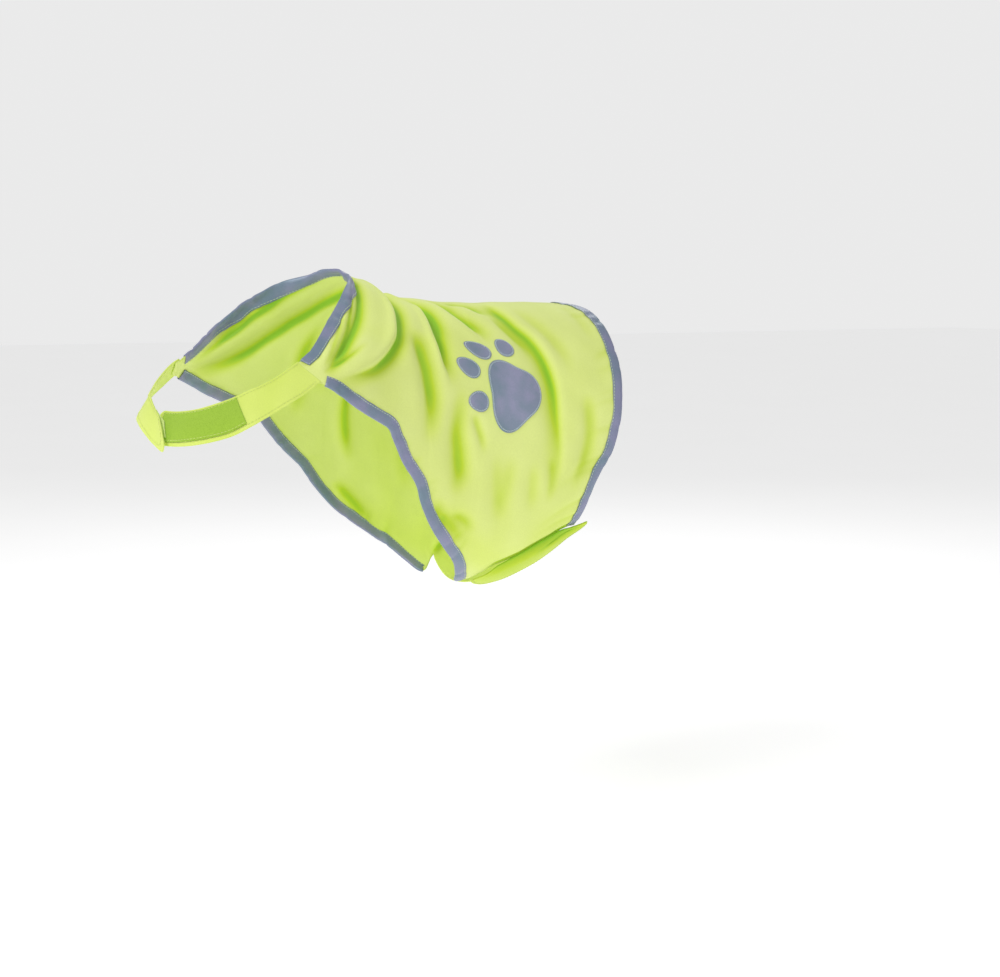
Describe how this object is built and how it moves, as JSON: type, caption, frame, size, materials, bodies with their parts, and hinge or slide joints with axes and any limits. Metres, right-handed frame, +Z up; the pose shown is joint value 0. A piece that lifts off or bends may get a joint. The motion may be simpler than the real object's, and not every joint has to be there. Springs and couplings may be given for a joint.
{
  "type": "dog safety vest",
  "caption": "High-visibility fabric vest for a dog: cloth over back and sides, bound edges, neck strap and belly strap closed with hook-and-loop, paw patch on each side.",
  "frame": {"origin": "on the underside of the back cloth, at the top of the shoulders, where the wearer's back holds it", "axes": "+Z up, the neck faces -Y, the tail end faces +Y, +X is the wearer's left side"},
  "size_m": [0.2801, 0.4976, 0.3284],
  "materials": {
    "yellow_cloth": "fluorescent yellow-green brushed polyester cloth",
    "reflective_tape": "grey-blue reflective tape and patch cloth",
    "loop_tape": "fluorescent green loop side of hook-and-loop tape",
    "hook_tape": "yellow-green hook side of hook-and-loop tape"
  },
  "bodies": {
    "root": {"back_panel": "yellow_cloth", "binding_neck": "reflective_tape", "binding_hem": "reflective_tape", "binding_armhole_left": "reflective_tape", "binding_armhole_right": "reflective_tape", "neck_strap_left": "yellow_cloth", "neck_strap_right": "yellow_cloth", "neck_loop_tape": "loop_tape", "neck_hook_tape": "hook_tape", "belly_strap_left": "yellow_cloth", "belly_strap_right": "yellow_cloth", "belly_loop_tape": "loop_tape", "belly_hook_tape": "hook_tape", "badge_toe_1_left": "reflective_tape", "badge_toe_2_left": "reflective_tape", "badge_toe_3_left": "reflective_tape", "badge_toe_4_left": "reflective_tape", "badge_pad_left": "reflective_tape", "badge_toe_1_right": "reflective_tape", "badge_toe_2_right": "reflective_tape", "badge_toe_3_right": "reflective_tape", "badge_toe_4_right": "reflective_tape", "badge_pad_right": "reflective_tape"}
  },
  "joints": []
}
